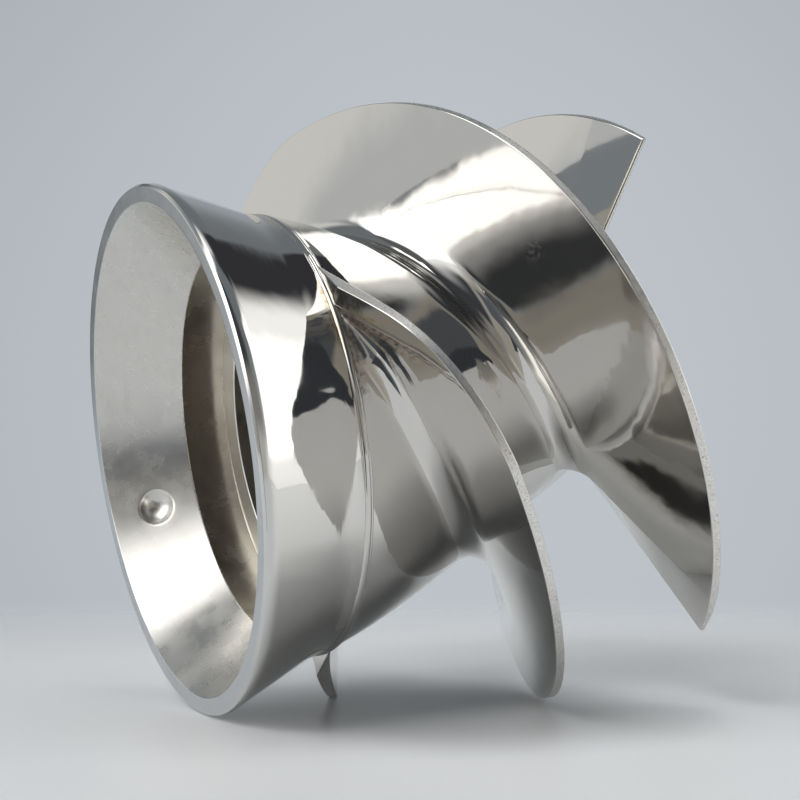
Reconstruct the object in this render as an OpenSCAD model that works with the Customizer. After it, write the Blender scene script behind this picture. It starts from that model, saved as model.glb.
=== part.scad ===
// Mixed-flow pump impeller, one stainless steel casting, machined and polished.
// Frame: Z is the shaft axis and +Z points to the nose, where the water comes in. The
// origin is in the plane of the shoulder at the end of the register bore. Heights in the
// values and modules below are measured from the open rear lip, which it stands on.

/* [Lip and skirt] */
// Outside diameter of the open rear lip
lip_d = 124.4; // [112:0.2:150]
// Width of the flat ground face of the lip
lip_face = 3.6; // [2:0.1:5]
// Bevel between the lip face and the turned land
lip_bevel = 0.6; // [0.2:0.1:1]
// Length of the turned land, measured from the lip face
lip_land = 2.1; // [1.2:0.1:4]
// Distance from the lip to the seam bead
skirt_l = 27.9; // [22:0.1:36]
// Outside diameter at the seam bead
seam_d = 105; // [88:0.5:112]
// Length over which the skirt bends from its straight cone into the seam
flare_l = 7.4; // [4:0.1:12]
// How much wider than the seam that bend's corner is, measured on the radius
flare_rise = 0.4; // [0.1:0.1:1.5]
// Radius of the raised bead on the seam
bead_r = 0.9; // [0.5:0.1:1.5]

/* [Rear hollow] */
// Depth of the conical mouth
mouth_l = 19.1; // [15:0.1:21]
// Wall between the register bore and the seam
seam_wall = 6.9; // [5:0.1:9]
// Length of the register bore
register_l = 11.1; // [8:0.1:14]
// Width of the shoulder at the end of the register bore
shoulder_w = 7.9; // [5:0.1:10]
// Wall between the core bore and the hub at the core's end
core_wall = 7; // [5:0.1:9]

/* [Dimple] */
// Diameter of the drilled dimple at the surface of the mouth
dimple_d = 9; // [6:0.5:12]
// Depth of the dimple
dimple_h = 1.8; // [1:0.1:2.5]
// Distance of the dimple from the lip
dimple_z = 10; // [7:0.1:13]
// Direction of the dimple round the axis
dimple_a = 201; // [0:1:360]

/* [Hub and nose] */
// Distance from the lip to where the hub becomes a straight cone
waist_z = 60; // [50:0.5:70]
// Hub diameter where the straight cone starts
waist_d = 79.4; // [66:0.2:92]
// Length over which the hub bends from the seam into the cone
waist_bend = 19.5; // [12:0.5:22]
// Diameter of the nose
nose_d = 36; // [30:0.5:42]
// Length of the nose ahead of the blade roots
nose_l = 7; // [4:0.5:12]
// Chamfer on the nose
nose_chamfer = 1.5; // [0.5:0.1:3]

/* [Shaft bore] */
// Diameter of the shaft bore
shaft_d = 22; // [16:0.5:24]
// Diameter of the seal seat in the nose
seat_d = 27; // [25:0.5:29]
// Depth of the seal seat
seat_l = 8; // [5:0.5:10]

/* [Blades] */
// Number of blades
blade_count = 3; // [2:1:4]
// Largest diameter over the blade tips
tip_d = 155.5; // [142:0.5:187]
// Distance from the lip to the largest tip diameter
tip_z = 52; // [46:0.5:60]
// Angle at which the tips narrow towards the inlet
tip_taper = 8; // [4:0.5:10]
// Turn of each blade round the hub
wrap = 220; // [183:1:264]
// Pitch at the leading edge
pitch_in = 97; // [82:1:115]
// Pitch at the trailing edge
pitch_out = 196; // [165:1:234]
// Forward lean of the leading edge
rake = 16.4; // [10:0.2:20]
// How full the trailing edge's outline is, 1 is straight
trail_full = 1.46; // [1:0.02:2]

/* [Blade section] */
// Thickness at the tip, along the axis
tip_t = 2.2; // [1.8:0.1:3]
// Thickness near the root, along the axis
root_t = 4.6; // [3.6:0.1:6]
// Turn before the helix starts at which the blade leaves the bead
run_in = 7; // [3:0.5:10]
// Turn at which the curved start of the tip has reached the helix
run_out = 15; // [12:0.5:25]
// Thickness where the blade has grown out of the bead
start_t = 4; // [3:0.1:5]
// Turn over which that is thinned to the tip's thickness
start_turn = 26; // [18:1:40]
// Thickness of the leading edge
lead_t = 1; // [0.8:0.1:1.5]
// Turn over which the leading edge is thinned
lead_turn = 14; // [8:1:24]
// Radius of the fillet between blade and hub
root_fillet = 5; // [3:0.5:8]
// Radius of that fillet at the leading edge
lead_fillet = 2.5; // [1:0.5:4]

/* [Hidden] */
$fn = 180;
overlap = 1;
// Steps along a blade's start, along the rest of it and round its fillets
start_steps = 6;
blade_steps = 48;
fillet_steps = 3;
// How deep a blade's foot and its fillets are sunk in the hub, and its height at the bead
foot = 3;
sink = 0.15;
start_step = 0.1;

lip_r = lip_d / 2;
face_r = lip_r - lip_bevel;
mouth_r = face_r - lip_face;
seam_r = seam_d / 2;
register_r = seam_r - seam_wall;
core_r = register_r - shoulder_w;
register_end = mouth_l + register_l;
waist_r = waist_d / 2;
nose_r = nose_d / 2;
tip_r = tip_d / 2;

// Front edge of a blade's tip at turn a: a helix whose pitch falls evenly from trailing to
// leading edge, reached from the bead in a curve
function helix_z(a) = skirt_l + pitch_out * a / 360
    - (pitch_out - pitch_in) * a * a / (720 * wrap)
    + (bead_r / 3 + pitch_out * run_in / 360)
      * pow(max(0, run_out - a) / (run_out + run_in), 2);

// Radius of a blade's outline where its tip helix is at height z
function edge_r(z) = z > tip_z
    ? tip_r - tan(tip_taper) * (z - tip_z)
    : seam_r + (tip_r - seam_r)
      * (1 - pow(1 - max(0, z - skirt_l) / (tip_z - skirt_l), trail_full));

// Forward lean at turn a, as rise for each millimetre of radius
function lean(a) = tan(rake) * a / wrap;

// The nose starts where the roots of the leading edges end
lead_z = helix_z(wrap);
nose_z = lead_z - lean(wrap) * (edge_r(lead_z) - nose_r) + overlap;
nose_end = nose_z + nose_l;
cone_slope = (waist_r - nose_r) / (nose_z - waist_z);
bend_z = waist_z - waist_bend;
bend_r = waist_r + cone_slope * waist_bend;

// Skirt outline below the seam: a straight cone up to its corner, which is bent round
corner_r = seam_r + flare_rise;
corner_z = skirt_l - flare_l / 2;
flare_z = skirt_l - flare_l;
flare_r = lip_r + (corner_r - lip_r) * (flare_z - lip_land) / (corner_z - lip_land);
flare_steps = 4;
skirt_points = [for (i = [0:flare_steps - 1]) let (t = i / flare_steps) [
    pow(1 - t, 2) * flare_r + 2 * t * (1 - t) * corner_r + t * t * seam_r,
    pow(1 - t, 2) * flare_z + 2 * t * (1 - t) * corner_z + t * t * skirt_l]];

// Hub outline between the seam and the waist, a curve tangent to the cone
function bend_point(t) = [
    pow(1 - t, 2) * seam_r + 2 * t * (1 - t) * bend_r + t * t * waist_r,
    pow(1 - t, 2) * skirt_l + 2 * t * (1 - t) * bend_z + t * t * waist_z];
bend_steps = 8;
bend_points = [for (i = [0:bend_steps]) bend_point(i / bend_steps)];

// The core bore ends where the hub outside it has come in to its wall
core_end = lookup(core_r + core_wall, concat(
    [[nose_r, nose_z]],
    [for (i = [bend_steps:-1:0]) bend_points[i]]));

// Hub radius at height z, and the radius it loses there for each millimetre
function hub_r(z) = z > nose_z ? nose_r
    : z > waist_z ? waist_r - cone_slope * (z - waist_z)
    : lookup(z, [for (p = concat([[lip_r, lip_land]], skirt_points, bend_points)) [p[1], p[0]]]);
function hub_slope(z) = (hub_r(z - 1) - hub_r(z + 1)) / 2;

// Width of a blade at turn a: it grows out of the bead, is thick there and thins to its
// leading edge
function thin(a) = min(1, (wrap - a) / lead_turn);
function tip_width(a) = a < start_turn
    ? min(start_t + (tip_t - start_t) * a / start_turn, helix_z(a) - skirt_l)
    : lead_t + (tip_t - lead_t) * thin(a);
function root_width(a) = lead_t + (root_t - lead_t) * thin(a);

// Height of a blade's mid-plane at turn a and radius r
function mid_z(a, r) = helix_z(a) - (a < start_turn ? tip_width(a) : tip_t) / 2
    - lean(a) * (edge_r(helix_z(a)) - r);

// One side of the blade's section at turn a, as [radius, height, turn]: its foot inside
// the hub, the fillet, the middle and the tip. side is 1 for the front face, -1 for the rear.
function flank(a, side) = let (
    root_z = mid_z(a, hub_r(mid_z(a, hub_r(helix_z(a))))),
    root = hub_r(root_z),
    out_r = max(edge_r(helix_z(a)), root + start_step),
    slope = hub_slope(root_z),
    tilt = atan(side * slope / (1 + lean(a) * slope)),
    half = min(root_width(a) / 2, root_z - skirt_l),
    room = 0.8 * (out_r - root) - slope * half,
    clear = side > 0 ? room : (root_z - half - skirt_l) / 1.5,
    f = max(0.02, min(lead_fillet + (root_fillet - lead_fillet) * thin(a), clear,
                      room * cos(tilt) / (1 + abs(sin(tilt))))),
    rise = f / cos(tilt) - tan(tilt) * (half + f),
    last = a > wrap - 0.01 ? 1 : 0,
    arc = [for (i = [0:fillet_steps]) let (
        t = 270 - tilt - (90 - tilt) * i / fillet_steps,
        r = root + rise + f * sin(t),
        z = mid_z(a, r) + side * (half + f + f * cos(t)),
        sag = hub_r(z) - root + slope * (z - root_z),
        ahead = last * f * (1 + cos(t)) / r * 180 / PI)
        [min(r + sag * (1 - i / fillet_steps) - sink, out_r - 0.05 * (fillet_steps + 2 - i)),
         z + ahead * pitch_in / 360, a + ahead]],
    face = arc[fillet_steps][0],
    middle = (face + out_r) / 2,
    edge = tip_width(a) / 2)
    concat(
        [arc[0] - [foot, 0, 0]],
        arc,
        [[middle, mid_z(a, middle) + side * (half + edge) / 2, a],
         [out_r, mid_z(a, out_r) + side * edge, a]]);

// Every section is a closed ring of points: the rear flank outwards, the front one inwards
module blade() {
    n = fillet_steps + 4;
    ring = 2 * n;
    turns = concat(
        [for (i = [0:start_steps - 1]) (run_in + run_out) * i / start_steps - run_in],
        [for (i = [0:blade_steps]) run_out + (wrap - run_out) * i / blade_steps]);
    points = [for (a = turns) let (rear = flank(a, -1), front = flank(a, 1))
        for (k = [0:ring - 1]) let (p = k < n ? rear[k] : front[ring - 1 - k])
        [p[0] * cos(p[2]), p[0] * sin(p[2]), p[1]]];
    sides = [for (i = [0:len(turns) - 2], k = [0:ring - 1])
        let (a = i * ring + k, b = i * ring + (k + 1) % ring)
        each [[a, b, a + ring], [b, b + ring, a + ring]]];
    last = (len(turns) - 1) * ring;
    ends = [for (k = [0:n - 2]) let (a = k, b = ring - 1 - k)
        each [[a, b, a + 1], [a + 1, b, b - 1],
              [last + a, last + a + 1, last + b], [last + a + 1, last + b - 1, last + b]]];
    polyhedron(points, concat(sides, ends));
}

module hub_solid() {
    rotate_extrude()
        polygon(concat(
            [[0, 0], [face_r, 0], [lip_r, lip_bevel], [lip_r, lip_land]],
            skirt_points,
            bend_points,
            [[nose_r, nose_z], [nose_r, nose_end - nose_chamfer],
             [nose_r - nose_chamfer, nose_end], [0, nose_end]]));
}

module seam_bead() {
    rotate_extrude()
        translate([seam_r - bead_r / 3, skirt_l])
            circle(bead_r, $fn = 32);
}

module rear_hollow() {
    rotate_extrude()
        polygon([[0, -overlap], [mouth_r, -overlap], [mouth_r, 0], [register_r, mouth_l],
            [register_r, register_end], [core_r, register_end], [core_r, core_end],
            [0, core_end]]);
}

module shaft_bore() {
    translate([0, 0, core_end - overlap])
        cylinder(h = nose_end - core_end + 2 * overlap, d = shaft_d);
    translate([0, 0, nose_end - seat_l])
        cylinder(h = seat_l + overlap, d = seat_d);
}

// A ball-nosed dimple in the conical wall of the mouth
module dimple() {
    wall_r = mouth_r - (mouth_r - register_r) * dimple_z / mouth_l;
    wall_a = atan((mouth_r - register_r) / mouth_l);
    ball_r = (pow(dimple_d / 2, 2) + dimple_h * dimple_h) / (2 * dimple_h);
    rotate(dimple_a)
        translate([wall_r, 0, dimple_z])
            rotate([0, -wall_a, 0])
                translate([dimple_h - ball_r, 0, 0])
                    sphere(ball_r, $fn = 64);
}

module impeller() {
    color("silver")
        translate([0, 0, -register_end])
            difference() {
                union() {
                    hub_solid();
                    seam_bead();
                    for (i = [0:blade_count - 1])
                        rotate(i * 360 / blade_count)
                            blade();
                }
                rear_hollow();
                shaft_bore();
                dimple();
            }
}

impeller();
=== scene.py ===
"""Pump impeller: one stainless steel casting, turned inside, ground at the tips and polished."""

import math

import bpy
import numpy as np
from mathutils import Matrix, Vector


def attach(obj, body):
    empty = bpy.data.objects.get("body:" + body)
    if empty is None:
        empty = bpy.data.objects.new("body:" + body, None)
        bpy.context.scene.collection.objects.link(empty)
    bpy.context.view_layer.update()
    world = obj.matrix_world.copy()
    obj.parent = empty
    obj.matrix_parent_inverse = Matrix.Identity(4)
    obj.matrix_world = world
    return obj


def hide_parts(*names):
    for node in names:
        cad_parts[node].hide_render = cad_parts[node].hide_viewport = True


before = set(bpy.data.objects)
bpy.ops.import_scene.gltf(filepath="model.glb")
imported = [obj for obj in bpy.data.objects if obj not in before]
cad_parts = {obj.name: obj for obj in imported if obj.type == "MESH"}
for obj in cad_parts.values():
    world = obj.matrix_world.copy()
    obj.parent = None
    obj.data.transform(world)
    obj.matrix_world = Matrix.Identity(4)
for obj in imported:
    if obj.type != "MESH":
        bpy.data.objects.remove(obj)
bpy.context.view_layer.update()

# Sizes in millimetres. Heights are measured from the rear lip, which lies ORIGIN_Z below
# the frame's origin.
ORIGIN_Z = 30.2
LIP_R, FACE_R, BEVEL, LAND_L = 62.2, 61.6, 0.6, 2.1
MOUTH_R, MOUTH_L = 58.0, 19.1
SEAM_Z, SEAM_R, BEAD_R = 27.9, 52.5, 0.9
FLARE_L, FLARE_RISE = 7.4, 0.4
REGISTER_R, REGISTER_END = 45.6, 30.2
CORE_R, CORE_END = 37.7, 49.42
WAIST_Z, WAIST_R, WAIST_BEND = 60.0, 39.7, 19.5
NOSE_R, NOSE_L, NOSE_CHAMFER = 18.0, 7.0, 1.5
SHAFT_R, SEAT_R, SEAT_L = 11.0, 13.5, 8.0
TIP_R, TIP_Z, TIP_TAPER = 77.69, 52.0, math.tan(math.radians(8))
WRAP, PITCH_IN, PITCH_OUT = 220.0, 97.0, 196.0
RAKE = math.tan(math.radians(16.4))
TRAIL_FULL = 1.46
TIP_T, ROOT_T, START_T, LEAD_T = 2.2, 4.6, 4.0, 1.0
START_TURN, LEAD_TURN = 26.0, 14.0
RUN_IN, RUN_OUT = 7.0, 15.0
ROOT_FILLET, LEAD_FILLET = 5.0, 2.5
DIMPLE_Z, DIMPLE_A, DIMPLE_R, DIMPLE_H = 10.0, 201.0, 4.5, 1.8
DIMPLE_EDGE, DIMPLE_RIM = 0.2, 1.5
# The fine second ridge on the bead: how far it stands out, half its width and its place
RIDGE_R, RIDGE_H, RIDGE_UP = 0.25, 0.35, 0.85
BLADES = 3

# Shape of the hub and the blades


def helix_z(a):
    """Height of the front edge of a blade's tip at turn a, in degrees."""
    helix = SEAM_Z + PITCH_OUT * a / 360 - (PITCH_OUT - PITCH_IN) * a * a / (720 * WRAP)
    start = (np.maximum(0, RUN_OUT - a) / (RUN_OUT + RUN_IN)) ** 2
    return helix + (BEAD_R / 3 + PITCH_OUT * RUN_IN / 360) * start


def edge_r(z):
    u = np.clip((z - SEAM_Z) / (TIP_Z - SEAM_Z), 0, 1)
    low = SEAM_R + (TIP_R - SEAM_R) * (1 - (1 - u) ** TRAIL_FULL)
    return np.where(z > TIP_Z, TIP_R - TIP_TAPER * (z - TIP_Z), low)


def lean(a):
    return RAKE * a / WRAP


LEAD_Z = helix_z(WRAP)
NOSE_Z = float(LEAD_Z - RAKE * (edge_r(LEAD_Z) - NOSE_R) + 1)
NOSE_END = NOSE_Z + NOSE_L
CONE = (WAIST_R - NOSE_R) / (NOSE_Z - WAIST_Z)


def bend(t):
    """Hub outline between the seam bead and the straight cone."""
    r = (1 - t) ** 2 * SEAM_R + 2 * t * (1 - t) * (WAIST_R + CONE * WAIST_BEND) + t**2 * WAIST_R
    z = (1 - t) ** 2 * SEAM_Z + 2 * t * (1 - t) * (WAIST_Z - WAIST_BEND) + t**2 * WAIST_Z
    return r, z


def flare(t):
    """Skirt outline from its straight cone to the seam."""
    corner_z = SEAM_Z - FLARE_L / 2
    r = LIP_R + (SEAM_R + FLARE_RISE - LIP_R) * (SEAM_Z - FLARE_L - LAND_L) / (corner_z - LAND_L)
    r = (1 - t) ** 2 * r + 2 * t * (1 - t) * (SEAM_R + FLARE_RISE) + t**2 * SEAM_R
    return r, SEAM_Z - FLARE_L * (1 - t)


BEND_R, BEND_Z = (np.concatenate(p) for p in zip(flare(np.linspace(0, 1, 33)),
                                                 bend(np.linspace(0, 1, 65)[1:])))


def hub_r(z):
    z = np.asarray(z, float)
    r = np.interp(z, np.append(LAND_L, BEND_Z), np.append(LIP_R, BEND_R))
    r = np.where(z > WAIST_Z, WAIST_R - CONE * (z - WAIST_Z), r)
    return np.where(z > NOSE_Z, NOSE_R, r)


def hub_slope(z):
    return hub_r(z - 0.5) - hub_r(z + 0.5)


def thin(a):
    return np.clip((WRAP - a) / LEAD_TURN, 0, 1)


def tip_width(a):
    start = np.minimum(START_T + (TIP_T - START_T) * a / START_TURN, helix_z(a) - SEAM_Z)
    return np.where(a < START_TURN, start, LEAD_T + (TIP_T - LEAD_T) * thin(a))


def root_width(a):
    return LEAD_T + (ROOT_T - LEAD_T) * thin(a)


def mid_z(a, r):
    z = helix_z(a)
    return z - np.where(a < START_TURN, tip_width(a), TIP_T) / 2 - lean(a) * (edge_r(z) - r)


# Steps round a root fillet, up a face and round a tip corner
ARC, FACE, NIP = 9, 14, 3
# Radius of a tip corner, its largest share of half the tip, and the row that guards a corner
NIP_R, NIP_SHARE, GUARD = 0.2, 0.6, 0.2
# Depth of a blade's foot, depth that its fillets sink in the hub, and the least fillet
FOOT, SINK, LEAST = 1.5, 0.02, 0.02
# Least height of a blade, and the largest share of that height which a fillet takes
LOWEST, FILLET_SHARE = 0.1, 0.8
# Distance to the seam for each millimetre of fillet
SEAM_SHARE = 1.5
# First guess at the radius of a root, and how often it is bettered
ROOT_GUESS, ROOT_TRIES = 40.0, 6
# How flat the tip is between its corners
CROWN = 0.8


def flank(a, side, taper):
    """Rows of one side of a blade at the turns a: foot, root fillet, face, tip corner."""
    root_z = mid_z(a, ROOT_GUESS)
    for _ in range(ROOT_TRIES):
        root_z = mid_z(a, hub_r(root_z))
    root = hub_r(root_z)
    out_r = np.maximum(edge_r(helix_z(a)), root + LOWEST)
    slope = hub_slope(root_z)
    tilt = np.arctan(side * slope / (1 + lean(a) * slope))
    half = np.minimum(root_width(a) / 2, root_z - SEAM_Z) * taper
    room = FILLET_SHARE * (out_r - root) - slope * half
    clear = room if side > 0 else (root_z - half - SEAM_Z) / SEAM_SHARE
    want = LEAD_FILLET + (ROOT_FILLET - LEAD_FILLET) * thin(a)
    f = np.minimum(np.minimum(want, clear), room * np.cos(tilt) / (1 + np.abs(np.sin(tilt))))
    f = np.maximum(f, LEAST)
    rise = f / np.cos(tilt) - np.tan(tilt) * (half + f)
    rows = []
    for i in range(ARC + 1):
        s = i / ARC
        t = 1.5 * np.pi - tilt - (np.pi / 2 - tilt) * s
        r = root + rise + f * np.sin(t)
        z = mid_z(a, r) + side * (half + f + f * np.cos(t))
        sag = hub_r(z) - root + slope * (z - root_z)
        r = np.minimum(r + sag * (1 - s) ** 2 - SINK, out_r - LEAST * (ARC + 2 - i))
        rows.append((r, z))
    rows.insert(0, (rows[0][0] - FOOT, rows[0][1]))
    face = rows[-1][0]
    edge = tip_width(a) / 2 * taper
    nip = np.minimum(NIP_R, edge * NIP_SHARE)
    for i in range(1, FACE + 2):
        top = out_r - nip - (GUARD * nip / NIP_R if i <= FACE else 0)
        r = face + (top - face) * min(i / FACE, 1)
        w = half + (edge - half) * (r - face) / (out_r - face)
        rows.append((r, mid_z(a, r) + side * w))
    for i in range(1, NIP + 1):
        c = np.pi / 2 * i / NIP
        r = out_r - nip + nip * np.sin(c)
        rows.append((r, mid_z(a, r) + side * (edge - nip * (1 - np.cos(c)))))
    rows.append((out_r, mid_z(a, out_r) + side * (edge - nip) * CROWN))
    return rows


# Sections round the thin end of a blade, the turn they take, and the thickness that is left
ROUND, ROUND_TURN, ROUND_LEFT = 8, 0.8, 0.02
# Turns where the sections of a blade change their spacing, and the counts between them
COARSE_FROM, FINE_FROM = 20, WRAP - 16
START_COUNT, MIDDLE_COUNT, LEAD_COUNT = 80, 250, 60


def blade_grid(start):
    """Points of a blade as [section, ring, xyz], closed round each section."""
    bow = np.linspace(0, np.pi / 2, ROUND)
    a = np.concatenate([
        np.linspace(-RUN_IN, COARSE_FROM, START_COUNT, endpoint=False),
        np.linspace(COARSE_FROM, FINE_FROM, MIDDLE_COUNT, endpoint=False),
        np.linspace(FINE_FROM, WRAP - ROUND_TURN, LEAD_COUNT, endpoint=False),
        WRAP - ROUND_TURN * (1 - np.sin(bow))])
    taper = np.ones_like(a)
    taper[-ROUND:] = ROUND_LEFT + (1 - ROUND_LEFT) * np.cos(bow)
    ring = flank(a, -1, taper) + flank(a, 1, taper)[::-1]
    r = np.stack([p[0] for p in ring], 1)
    z = np.stack([p[1] for p in ring], 1)
    t = np.radians(a + start)[:, None]
    return np.stack([r * np.cos(t), r * np.sin(t), z - ORIGIN_Z], -1)


# Nodes


class Graph:
    """Short ways to add nodes to one node tree."""

    def __init__(self, tree):
        self.tree = tree

    def put(self, value, socket):
        if isinstance(value, bpy.types.NodeSocket):
            self.tree.links.new(value, socket)
        else:
            socket.default_value = value

    def add(self, kind, inputs, **settings):
        node = self.tree.nodes.new("ShaderNode" + kind)
        for key, value in settings.items():
            setattr(node, key, value)
        for key, value in inputs.items():
            self.put(value, node.inputs[key])
        return node

    def math(self, operation, a, b=0.0):
        return self.add("Math", {0: a, 1: b}, operation=operation).outputs[0]

    def times(self, *values):
        out = values[0]
        for value in values[1:]:
            out = self.math("MULTIPLY", out, value)
        return out

    def total(self, *values):
        out = values[0]
        for value in values[1:]:
            out = self.math("ADD", out, value)
        return out

    def vector(self, operation, a, b, out="Vector"):
        return self.add("VectorMath", {0: a, 1: b}, operation=operation).outputs[out]

    def join(self, x, y, z):
        return self.add("CombineXYZ", {0: x, 1: y, 2: z}).outputs[0]

    def rise(self, value, start, end, low=0.0, high=1.0):
        """low up to start, high from end on, with a smooth change between them."""
        inputs = {0: value, 1: start, 2: end, 3: low, 4: high}
        return self.add("MapRange", inputs, interpolation_type="SMOOTHSTEP").outputs[0]

    def band(self, value, low, high, soft):
        """1 from low to high, 0 outside, with soft edges."""
        up = self.rise(value, low - soft, low + soft)
        return self.times(up, self.rise(value, high - soft, high + soft, 1.0, 0.0))

    def noise(self, place, size, detail=2.0, rough=0.5):
        """Noise from 0 to 1 whose lumps are about size long."""
        inputs = {"Vector": place, "Scale": 1 / size, "Detail": detail, "Roughness": rough}
        return self.add("TexNoise", inputs).outputs[0]

    def mix(self, factor, a, b):
        inputs = {0: factor, 6: a, 7: b}
        return self.add("Mix", inputs, data_type="RGBA").outputs[2]

    def near(self, place, spot, radius, soft):
        """1 inside a ball round spot, 0 outside it."""
        away = self.vector("DISTANCE", place, spot, "Value")
        return self.rise(away, radius - soft, radius + soft, 1.0, 0.0)


# Turn ahead of the start of a blade that is counted with it, in degrees
AHEAD_OF = 20.0


class Metal(Graph):
    """A bare metal, with the place on the part in millimetres."""

    def __init__(self, name, rough):
        self.material = bpy.data.materials.new(name)
        self.material.use_nodes = True
        super().__init__(self.material.node_tree)
        self.shader = self.tree.nodes["Principled BSDF"]
        self.shader.inputs["Metallic"].default_value = 1
        self.shader.inputs["Roughness"].default_value = rough
        coordinates = self.add("TexCoord", {}).outputs["Object"]
        self.place = self.vector("MULTIPLY", coordinates, (1000, 1000, 1000))
        x, y, z = self.add("SeparateXYZ", {0: self.place}).outputs
        self.radius = self.math("SQRT", self.total(self.times(x, x), self.times(y, y)))
        turn = self.math("ARCTAN2", y, x)
        self.height = self.math("ADD", z, ORIGIN_Z)
        # Turn from the start of the nearest blade behind, in degrees from -20 to 100
        turn_on = self.math("ADD", self.times(turn, 180 / math.pi), 360.0 + AHEAD_OF)
        self.turn = self.math("SUBTRACT", self.math("MODULO", turn_on, 360 / BLADES), AHEAD_OF)
        # Long grain that runs round the axis
        self.grain = self.join(self.radius, self.height, self.times(turn, 5.0))

    def finish(self, colour, rough, lumps):
        """Sets colour, roughness and the height of the lumps in micrometres."""
        self.put(colour, self.shader.inputs["Base Color"])
        self.put(rough, self.shader.inputs["Roughness"])
        inputs = {"Height": lumps, "Distance": 1e-6, "Strength": 1.0}
        self.put(self.add("Bump", inputs).outputs[0], self.shader.inputs["Normal"])
        return self.material


STEEL = (0.70, 0.688, 0.665, 1)


def polished():
    """Mirror-polished casting: slow waves, fine strokes, and rough stained metal at the bead.

    Grit lies between the bead and the front of a blade's start, and crust on the skirt's side
    of the bead there. Frost is a small dull spot on the third blade's rear face.
    """
    m = Metal("polished", 0.05)
    waves = m.times(m.noise(m.place, 17.0, 1.0), 170.0)
    dents = m.times(m.noise(m.place, 6.0, 1.0), 32.0)
    ripple = m.times(m.noise(m.grain, 2.6, 2.0), 8.0)
    front = m.times(m.band(m.height, 28.6, 31.5, 0.5), m.band(m.turn, 8.0, 30.0, 3.0))
    grit = m.times(front, m.rise(m.height, 28.8, 30.8, 1.0, 0.35))
    crust = m.times(m.band(m.height, 26.0, 27.5, 0.5), m.band(m.turn, 0.0, 19.0, 4.0))
    strokes = m.times(m.band(m.height, 20.0, 26.8, 2.5), m.band(m.turn, 52.0, 68.0, 6.0))
    frost = m.near(m.place, (55.8, 0.2, 48.5), 2.6, 2.4)
    frost = m.times(frost, m.rise(m.noise(m.place, 1.2, 3.0), 0.40, 0.60))
    brushed = m.times(m.band(m.height, 23.6, 27.2, 0.8), m.band(m.turn, 66.0, 97.0, 5.0))
    rough_cast = m.math("MAXIMUM", grit, m.times(crust, 0.5))
    fine = m.total(m.times(rough_cast, 22.0), m.times(frost, 4.0))
    lumps = m.total(
        waves, dents, ripple,
        m.times(m.noise(m.place, 0.45, 3.0), fine),
        m.times(m.noise(m.grain, 0.35, 1.0),
                m.total(m.times(strokes, 7.0), m.times(brushed, 4.0), 0.2)))
    brown = m.rise(m.noise(m.place, 1.3, 3.0), 0.44, 0.60)
    colour = m.mix(m.times(crust, 0.7), STEEL, (0.76, 0.66, 0.48, 1))
    colour = m.mix(m.times(grit, 0.5), colour, (0.66, 0.60, 0.52, 1))
    colour = m.mix(m.times(rough_cast, brown, 0.75), colour, (0.20, 0.13, 0.09, 1))
    smudge = m.rise(m.noise(m.place, 7.0, 4.0), 0.35, 0.75, 0.025, 0.065)
    dull = m.times(m.rise(m.radius, 52.0, 62.0), m.rise(m.height, 40.0, 56.0), 0.04)
    rough = m.total(smudge, dull, m.times(rough_cast, 0.3), m.times(frost, 0.2),
                    m.times(strokes, 0.06), m.times(brushed, 0.32))
    return m.finish(colour, rough, lumps)


def ground():
    """Tips of the blades, ground to size: satin where a blade starts, then an even grain."""
    m = Metal("ground", 0.36)
    start = m.rise(m.turn, 2.0, 17.0, 1.0, 0.0)
    grain = m.noise(m.place, 0.32, 3.0, 0.65)
    stroke = m.noise(m.join(m.radius, m.times(m.height, 0.25), m.times(m.turn, 3.0)), 0.7, 2.0)
    speck = m.rise(m.noise(m.place, 0.5, 1.0), 0.68, 0.75)
    plain = m.math("SUBTRACT", 1.0, start)
    colour = m.mix(m.rise(grain, 0.35, 0.65), (0.66, 0.65, 0.63, 1), (0.90, 0.885, 0.86, 1))
    colour = m.mix(m.times(speck, plain, 0.8), colour, (0.10, 0.09, 0.08, 1))
    rough = m.total(m.rise(m.noise(m.place, 2.5, 3.0), 0.3, 0.7, 0.30, 0.40), m.times(start, 0.16))
    lumps = m.total(m.times(grain, m.total(m.times(plain, 24.0), 6.0)), m.times(stroke, 4.0))
    return m.finish(colour, rough, lumps)


def turned(name, colour, stained, rough, groove, blotch, spread):
    """A turned surface: rings that spread reflections across them, faint blotches and grain."""
    m = Metal(name, rough)
    m.shader.inputs["Anisotropic"].default_value = spread
    round_axis = m.add("Tangent", {}, direction_type="RADIAL", axis="Z")
    m.put(round_axis.outputs[0], m.shader.inputs["Tangent"])
    rings = m.noise(m.join(m.radius, m.height, m.times(m.turn, 0.02)), 0.45, 2.0, 0.6)
    grain = m.noise(m.place, 0.35, 2.0)
    spots = m.rise(m.noise(m.join(m.radius, m.height, m.times(m.turn, 0.5)), 4.0, 2.0), 0.5, 0.8)
    tone = m.mix(m.times(spots, blotch), colour, stained)
    wear = m.rise(m.noise(m.place, 6.0, 3.0), 0.3, 0.7, rough * 0.85, rough * 1.2)
    lumps = m.total(m.times(rings, groove), m.times(grain, groove * 0.4))
    return m.finish(tone, wear, lumps)


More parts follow.
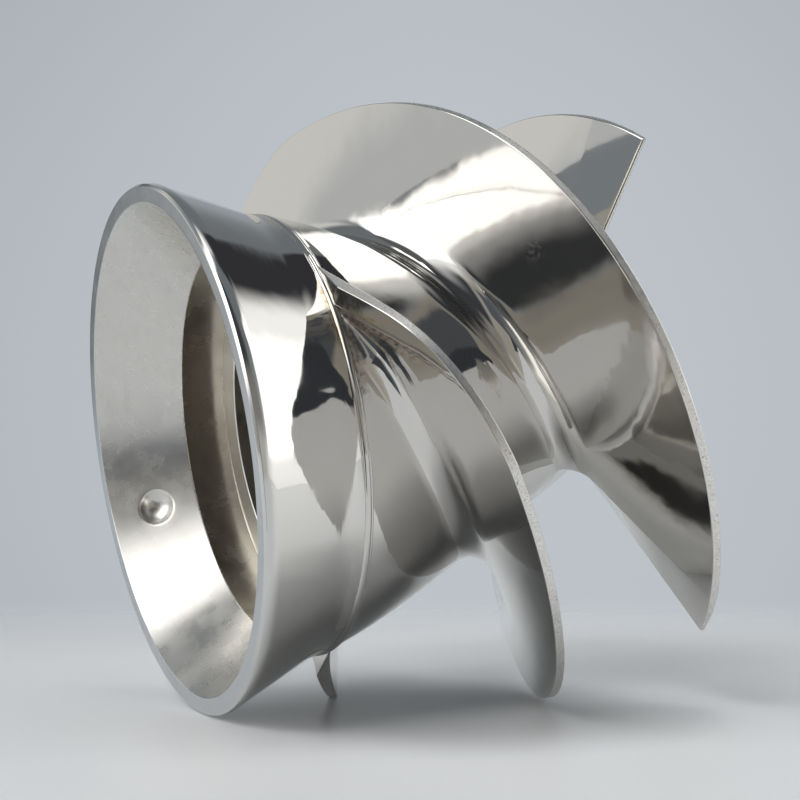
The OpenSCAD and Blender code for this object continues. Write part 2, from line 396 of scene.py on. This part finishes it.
# Turned surfaces: colour, colour of the stains, roughness, height of the rings in
# micrometres, how much the stains show, and how far a reflection spreads across the rings
TURNED = {
    "lip": ((0.60, 0.62, 0.64, 1), (0.44, 0.45, 0.46, 1), 0.14, 0.7, 0.35, 0.0),
    "edge": ((0.68, 0.68, 0.67, 1), (0.50, 0.50, 0.49, 1), 0.12, 0.6, 0.3, 0.0),
    "mouth": ((0.74, 0.725, 0.69, 1), (0.54, 0.52, 0.48, 1), 0.27, 1.2, 0.2, 0.0),
    "register": ((0.60, 0.56, 0.49, 1), (0.42, 0.37, 0.29, 1), 0.24, 0.5, 0.4, 0.8),
    # The shoulder is painted paler than the other turned steel, a painted highlight for the light
    # it catches
    "shoulder": ((0.95, 0.94, 0.91, 1), (0.75, 0.73, 0.69, 1), 0.35, 1.0, 0.3, 0.5),
    "core": ((0.34, 0.32, 0.29, 1), (0.20, 0.18, 0.16, 1), 0.38, 6.0, 0.7, 0.0),
}
MATERIALS = {"polished": polished(), "ground": ground()}
MATERIALS.update((name, turned(name, *values)) for name, values in TURNED.items())
SLOTS = list(MATERIALS)

# Meshes

# Angle from which an edge is sharp
SHARP = math.radians(32)


def add_mesh(name, points, quads, slots):
    """An object from points in millimetres, with one material for each face."""
    mesh = bpy.data.meshes.new(name)
    mesh.from_pydata((points / 1000).tolist(), [], quads.tolist())
    for material in MATERIALS.values():
        mesh.materials.append(material)
    mesh.polygons.foreach_set("material_index", np.asarray(slots, np.int32))
    mesh.polygons.foreach_set("use_smooth", np.ones(len(quads), bool))
    mesh.set_sharp_from_angle(angle=SHARP)
    mesh.update()
    piece = bpy.data.objects.new(name, mesh)
    bpy.context.scene.collection.objects.link(piece)
    return piece


def add_blade(name, start):
    grid = blade_grid(start)
    count, size, _ = grid.shape
    ids = np.arange(count * size).reshape(count, size)
    nxt = np.roll(ids, -1, 1)
    sides = np.stack([ids[:-1], nxt[:-1], nxt[1:], ids[1:]], -1)
    slots = np.full((count - 1, size), SLOTS.index("polished"))
    middle = size // 2 - 1
    slots[:-ROUND, middle - 1:middle + 2] = SLOTS.index("ground")
    low = np.arange(size // 2 - 1)
    ends = [np.stack([end[low], end[size - 1 - low], end[size - 2 - low], end[low + 1]], -1)
            for end in (ids[0], ids[-1])]
    quads = np.concatenate([sides.reshape(-1, 4), ends[0], ends[1][:, ::-1]])
    slots = np.concatenate([slots.ravel(), np.full(2 * len(low), SLOTS.index("polished"))])
    return add_mesh(name, grid.reshape(-1, 3), quads, slots)


def soften(outline, steps=4):
    """Rounds each corner of a closed outline by its own size, with a guard row on each side.

    A corner is its radius, height, the material that follows it and its size.
    """
    out = []
    for i, (r, z, slot, size) in enumerate(outline):
        if size == 0:
            out.append((r, z, slot))
            continue
        here = np.array((r, z))
        back = np.array(outline[i - 1][:2]) - here
        on = np.array(outline[(i + 1) % len(outline)][:2]) - here
        back /= np.linalg.norm(back)
        on /= np.linalg.norm(on)
        out.append((*(here + back * (size + GUARD)), outline[i - 1][2]))
        for t in np.linspace(0, 1, steps + 1):
            out.append((*(here + back * size * (1 - t) ** 2 + on * size * t**2), slot))
        out.append((*(here + on * (size + GUARD)), slot))
    return out


def hub_outline():
    """Outline from the lip over the outside to the nose, and back through the hollows."""
    out = [
        (FACE_R, 0.0, "edge", 0.08),
        (LIP_R, BEVEL, "edge", 0.08),
        (LIP_R, LAND_L, "polished", 0)]
    for z in np.linspace(LAND_L, SEAM_Z - FLARE_L, 12)[1:]:
        out.append((float(hub_r(z)), z, "polished", 0))
    for z in np.linspace(SEAM_Z - FLARE_L, SEAM_Z - BEAD_R, 14)[1:]:
        out.append((float(hub_r(z)), z, "polished", 0))
    for c in np.radians(np.linspace(-65, 42, 9)):
        out.append((SEAM_R - BEAD_R / 3 + BEAD_R * math.cos(c), SEAM_Z + BEAD_R * math.sin(c),
                    "polished", 0))
    for c in np.radians(np.linspace(-35, 55, 7)):
        out.append((SEAM_R + RIDGE_R * math.cos(c), SEAM_Z + RIDGE_UP + RIDGE_H * math.sin(c),
                    "polished", 0))
    for r, z in np.transpose(bend(np.linspace(0.05, 1, 40))):
        out.append((r, z, "polished", 0))
    for z in np.linspace(WAIST_Z, NOSE_Z, 40)[1:-1]:
        out.append((float(hub_r(z)), z, "polished", 0))
    out += [
        (NOSE_R, NOSE_Z, "polished", 0.5),
        (NOSE_R, NOSE_END - NOSE_CHAMFER, "edge", 0.2),
        (NOSE_R - NOSE_CHAMFER, NOSE_END, "lip", 0.2),
        (SEAT_R, NOSE_END, "mouth", 0.25),
        (SEAT_R, NOSE_END - SEAT_L, "mouth", 0.2),
        (SHAFT_R, NOSE_END - SEAT_L, "mouth", 0.2),
        (SHAFT_R, CORE_END, "core", 0.3),
        (CORE_R, CORE_END, "core", 1.0),
        (CORE_R, REGISTER_END, "shoulder", 0.3),
        (REGISTER_R, REGISTER_END, "register", 0.3),
        (REGISTER_R, MOUTH_L, "mouth", 0.2)]
    reach = DIMPLE_R + DIMPLE_RIM
    rows = np.concatenate([
        np.linspace(MOUTH_L - 0.6, DIMPLE_Z + reach, 5, endpoint=False),
        np.arange(DIMPLE_Z + reach, DIMPLE_Z - reach, -0.25),
        np.linspace(DIMPLE_Z - reach, 0.6, 5)])
    for z in rows:
        out.append((MOUTH_R - (MOUTH_R - REGISTER_R) * z / MOUTH_L, z, "mouth", 0))
    out.append((MOUTH_R, 0.0, "lip", 0.12))
    return out


def press_dimple(points):
    """Presses a ball-nosed dimple with a softened rim into the mouth's wall."""
    wall = math.atan((MOUTH_R - REGISTER_R) / MOUTH_L)
    wall_r = MOUTH_R - math.tan(wall) * DIMPLE_Z
    a = math.radians(DIMPLE_A)
    out = np.array((math.cos(a) * math.cos(wall), math.sin(a) * math.cos(wall), math.sin(wall)))
    spot = np.array((wall_r * math.cos(a), wall_r * math.sin(a), DIMPLE_Z - ORIGIN_Z))
    away = points - spot
    deep = away @ out
    reach = np.linalg.norm(away - deep[..., None] * out, axis=-1)
    ball = (DIMPLE_R**2 + DIMPLE_H**2) / (2 * DIMPLE_H)
    sink = np.sqrt(np.maximum(ball**2 - reach**2, 0)) - (ball - DIMPLE_H)
    sink = (sink + np.sqrt(sink**2 + DIMPLE_EDGE**2)) / 2
    near = (reach < DIMPLE_R + DIMPLE_RIM) & (np.abs(deep) < 1)
    points[near] += sink[near][:, None] * out


# The bead is ground low ahead of the start of the first blade: the share of it that is
# left, and the turns between which it is low
LOW_BEAD, LOW_FROM, LOW_TO = 0.25, -66.0, -12.0
# Turn over which the bead falls, and its reach on each side of the seam
LOW_BLEND, BEAD_NEAR = 8, 1.3


def lower_bead(radii, heights, turns):
    """Radii as [turn, row], with the bead lowered ahead of the start of the first blade."""
    turn = (turns - LOW_TO) % 360 - 360
    middle, half = (LOW_FROM - LOW_TO) / 2, (LOW_TO - LOW_FROM) / 2
    low = np.clip((half - np.abs(turn - middle)) / LOW_BLEND + 0.5, 0, 1)
    low = low * low * (3 - 2 * low) * (1 - LOW_BEAD)
    near = np.abs(heights - SEAM_Z) < BEAD_NEAR
    rise = np.where(near & (radii > SEAM_R - 1), np.maximum(radii - hub_r(heights), 0), 0)
    return radii - low[:, None] * rise


# Steps round the hub in degrees, the finer ones near the dimple, and how far those reach
TURN_STEP, FINE_STEP, FINE_HALF = 1.25, 0.25, 8


def add_hub():
    outline = soften(hub_outline())
    radii = np.array([p[0] for p in outline])
    heights = np.array([p[1] for p in outline])
    fine = np.arange(DIMPLE_A - FINE_HALF, DIMPLE_A + FINE_HALF + 0.1, FINE_STEP)
    turns = np.unique(np.concatenate([np.arange(0, 360, TURN_STEP), fine]))
    radii = lower_bead(radii, heights, turns)
    turns = np.radians(turns)[:, None]
    grid = np.stack([radii * np.cos(turns), radii * np.sin(turns),
                     np.broadcast_to(heights - ORIGIN_Z, radii.shape)], -1)
    press_dimple(grid)
    ids = np.arange(grid[..., 0].size).reshape(grid.shape[:2])
    nxt, up = np.roll(ids, -1, 0), np.roll(ids, -1, 1)
    quads = np.stack([ids, nxt, np.roll(nxt, -1, 1), up], -1).reshape(-1, 4)
    slots = np.tile([SLOTS.index(p[2]) for p in outline], len(turns))
    return add_mesh("hub", grid.reshape(-1, 3), quads, slots)


pieces = [add_hub()]
for blade in range(BLADES):
    pieces.append(add_blade(f"blade_{blade + 1}", blade * 360 / BLADES))
for piece in pieces:
    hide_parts("impeller")
    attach(piece, "root")

# Camera: level, with the impeller lying on its lip and two of its blades
RIGHT = Vector((0.22663, 0.34664, 0.91021))
UP = Vector((0.63943, -0.75788, 0.12942))
AHEAD = Vector((-0.73469, -0.55269, 0.39341))
EYE = Vector((0.398095, 0.294241, -0.182102))
lens = bpy.data.cameras.new("camera")
lens.sensor_width = 36
lens.lens = 99.52
lens.clip_end = 20
camera = bpy.data.objects.new("camera", lens)
turned_to = Matrix((RIGHT, UP, -AHEAD)).transposed().to_4x4()
camera.matrix_world = Matrix.Translation(EYE) @ turned_to
bpy.context.scene.collection.objects.link(camera)
bpy.context.scene.camera = camera

# Floors: the one in the photograph, and one under the lip for views of the upright part
FLOOR_UP = -0.0738
FLOOR_AHEAD = 0.52
# The painted shadow, a darker round patch under the part: its middle, its radius and its softness
SHADOW_SPOT, SHADOW_R, SHADOW_SOFT = (0.012, 0.002, 0.0), 0.048, 0.026


def floor_material(name, matt_to, gone_from, gapped):
    """A satin floor that is only seen from above and fades out behind its middle.

    A gapped one leaves room for the dark flag that stands at the front left, and it has a
    painted shadow under the part. Its colour is painted paler to the right, where more light
    falls, and seen by the camera or in a reflection it glows paler in front: painted light.
    """
    material = bpy.data.materials.new(name)
    material.use_nodes = True
    g = Graph(material.node_tree)
    matt = g.tree.nodes["Principled BSDF"]
    matt.inputs["Roughness"].default_value = 0.42
    matt.inputs["Specular IOR Level"].default_value = 0.4
    place = g.add("TexCoord", {}).outputs["Object"]
    side_m, ahead, _ = g.add("SeparateXYZ", {0: place}).outputs
    # Painted light: the floor's colour is paler to the right, where more light falls on it
    tone = g.mix(g.rise(side_m, -0.22, 0.10), (0.82, 0.84, 0.87, 1), (0.955, 0.97, 0.99, 1))
    # Painted shadow: the floor's colour is darkened in a round patch under the part
    under = g.times(g.near(place, SHADOW_SPOT, SHADOW_R, SHADOW_SOFT), gapped)
    g.put(g.mix(g.times(under, 0.3), tone, (0.06, 0.06, 0.06, 1)), matt.inputs["Base Color"])
    side = g.times(side_m, 0.6)
    away = g.math("SQRT", g.total(g.times(side, side), g.times(ahead, ahead)))
    behind = g.rise(ahead, -0.01, 0.01)
    hidden = g.times(g.rise(away, matt_to, gone_from), behind)
    bearing = g.math("ARCTAN2", side_m, g.times(ahead, -1.0))
    front = g.rise(bearing, -0.30, -0.02, 0.12, 0.27)
    past = g.rise(g.total(ahead, front), -0.005, 0.005, 1.0, 0.0)
    gap = g.times(g.band(bearing, -0.60, -0.03, 0.02), past, gapped)
    hidden = g.math("MAXIMUM", hidden, gap)
    back = g.add("NewGeometry", {}).outputs["Backfacing"]
    hidden = g.math("MAXIMUM", hidden, back)
    rays = g.add("LightPath", {}).outputs
    seen = g.math("MAXIMUM", rays["Is Camera Ray"], rays["Is Glossy Ray"])
    seen = g.math("MAXIMUM", seen, rays["Is Transmission Ray"])
    clear = g.math("SUBTRACT", 1.0, under)
    # Painted light: the floor glows faintly in front for the camera and in reflections, but not on
    # the painted shadow
    glow = g.times(g.rise(ahead, 0.04, 0.16, 0.05, 0.0), clear, seen)
    painted_glow = g.add("Emission", {"Color": (0.98, 1.0, 1.0, 1), "Strength": glow}).outputs[0]
    lit = g.add("AddShader", {0: matt.outputs[0], 1: painted_glow}).outputs[0]
    glass = g.add("BsdfTransparent", {}).outputs[0]
    mixed = g.add("MixShader", {0: hidden, 1: lit, 2: glass}).outputs[0]
    g.put(mixed, g.tree.nodes["Material Output"].inputs[0])
    return material


def add_floor(name, middle, across, up, near, size, material):
    """A floor round middle, with one side along across and its front edge near away."""
    mesh = bpy.data.meshes.new(name)
    corners = [(-size, -near, 0), (size, -near, 0), (size, size, 0), (-size, size, 0)]
    mesh.from_pydata(corners, [], [(0, 1, 2, 3)])
    mesh.materials.append(material)
    floor = bpy.data.objects.new(name, mesh)
    floor.matrix_world = Matrix.Translation(middle) @ Matrix(
        (across, up.cross(across), up)).transposed().to_4x4()
    bpy.context.scene.collection.objects.link(floor)
    return floor


add_floor("floor", EYE + UP * FLOOR_UP + AHEAD * FLOOR_AHEAD, RIGHT, UP, 0.30, 0.42,
          floor_material("floor", 0.11, 0.33, 1.0))
rest_floor = add_floor("rest_floor", Vector((0, 0, -ORIGIN_Z / 1000 - 1e-4)), Vector((1, 0, 0)),
                       Vector((0, 0, 1)), 0.5, 0.5, floor_material("rest_floor", 0.2, 0.5, 0.0))
rest_floor.visible_glossy = False
rest_floor.visible_diffuse = False
rest_floor.visible_shadow = False

# Studio light: soft boxes and dark flags by bearing and height, in degrees. The bearing is
# 0 towards the camera and 90 to its right. Each patch has its west and east side with the
# lean of each, its lowest and highest edge, its softness and its colour.
WALL = (0.50, 0.54, 0.565, 1)
PATCHES = [
    (150, 0, 181, 0, -6, 26, 6, (0.33, 0.37, 0.41)),
    (-155, 0, -137, 0, -4, 26, 2, (0.13, 0.145, 0.155)),
    (-137, 0, -92, 0, -14, 37, 6, (0.76, 0.755, 0.735)),
    (-92, 0, -76, 0, -14, 22, 5, (0.57, 0.58, 0.585)),
    (-92, 0, 58, 0, 44, 76, 6, (0.09, 0.095, 0.10)),
    (-48, 0, 60, 0, -38, 15, 3, (0.36, 0.34, 0.30)),
    (-48, 0, 66, 0, -38, -12, 8, (0.50, 0.485, 0.445)),
    (36, 0, 70, 0, -30, 14, 8, (0.52, 0.51, 0.48)),
    (-34, 0, -9, 0, -44, 10, 2, (0.10, 0.11, 0.125)),
    (-34, 0, 16, 1, -34, -10, 1, (0.05, 0.055, 0.065)),
    (-38, 0, 60, 0, 16, 76, 4, (0.05, 0.053, 0.058)),
    (14, 0, 66, 0, 10, 34, 6, (0.25, 0.24, 0.22)),
    (60, 0, 108, 0, -60, 4, 6, (0.94, 0.935, 0.91)),
    (74, 0.2, 104, 0, -8, 20, 8, (1.25, 1.25, 1.22)),
    (106, 0, 146, 0, -22, 44, 3, (0.25, 0.25, 0.24)),
    (117, 0, 131, 0, -4, 6, 1.5, (0.03, 0.03, 0.03)),
    (108, 0, 152, 0, 43.5, 70, 2, (0.04, 0.04, 0.045)),
    (80, 0.3, 104, 0.27, 6, 47, 7, (1.25, 1.25, 1.22)),
    (67.5, 0.3, 100, 0, 2, 46, 3, (1.80, 1.79, 1.74)),
    (-70, 0, -28, 0.3, 34, 60, 13, (0.50, 0.50, 0.51)),
    (-76, -0.1, -45, 0.3, 8, 62, 8, (1.15, 1.15, 1.13)),
    (-79, -0.22, -54, 0.3, 5, 57, 3, (2.30, 2.28, 2.24)),
    (120, 0, 175, 0, 69, 82, 3, (0.9, 0.9, 0.9)),
    (-180, 0, 180, 0, 78, 91, 3, (2.8, 2.8, 2.76)),
    (-100, 0, -20, 0, 60, 84, 3, (0.12, 0.125, 0.13)),
]


def light_studio():
    world = bpy.data.worlds.new("studio")
    bpy.context.scene.world = world
    world.use_nodes = True
    g = Graph(world.node_tree)
    way = g.add("TexCoord", {}).outputs["Generated"]
    right, up, ahead = (
        g.vector("DOT_PRODUCT", way, axis[:], "Value") for axis in (RIGHT, UP, AHEAD))
    degrees = 180 / math.pi
    bearing = g.times(g.math("ARCTAN2", right, g.times(ahead, -1.0)), degrees)
    height = g.times(g.math("ARCSINE", up), degrees)
    dim = g.rise(height, 6.0, 44.0, 0.0, 0.72)
    colour = g.mix(dim, WALL, (0.06, 0.07, 0.08, 1))
    for west, west_lean, east, east_lean, low, high, soft, tone in PATCHES:
        past_west = g.math("SUBTRACT", bearing, g.total(g.times(height, west_lean), west))
        past_east = g.math("SUBTRACT", bearing, g.total(g.times(height, east_lean), east))
        inside = g.times(g.rise(past_west, -soft, soft), g.rise(past_east, -soft, soft, 1.0, 0.0),
                         g.band(height, low, high, soft))
        colour = g.mix(inside, colour, (*tone, 1))
    # Painted shade on the backdrop that the camera sees: darker away from the middle of the view
    # and to the left
    left = g.rise(right, -0.17, 0.02, 0.10, 0.0)
    edge = g.total(g.rise(ahead, 0.96, 0.998, 0.30, 0.0), left)
    backdrop = g.mix(edge, (0.505, 0.543, 0.575, 1), (0.26, 0.295, 0.33, 1))
    seen = g.add("LightPath", {}).outputs["Is Camera Ray"]
    colour = g.mix(seen, colour, backdrop)
    g.put(colour, g.tree.nodes["Background"].inputs[0])


light_studio()

# Key light from the front left, which gives the floor its shadow. It isn't mirrored itself.
KEY_BEARING, KEY_HEIGHT = math.radians(-28), math.radians(46)
sun = bpy.data.lights.new("key", "SUN")
sun.energy = 0.5
sun.angle = math.radians(16)
key = bpy.data.objects.new("key", sun)
from_key = (RIGHT * math.sin(KEY_BEARING) - AHEAD * math.cos(KEY_BEARING)) * math.cos(KEY_HEIGHT)
from_key += UP * math.sin(KEY_HEIGHT)
key.matrix_world = from_key.to_track_quat("Z", "Y").to_matrix().to_4x4()
key.visible_glossy = False
bpy.context.scene.collection.objects.link(key)

bpy.context.scene.view_settings.view_transform = "Standard"
bpy.context.scene.cycles.glossy_bounces = 8
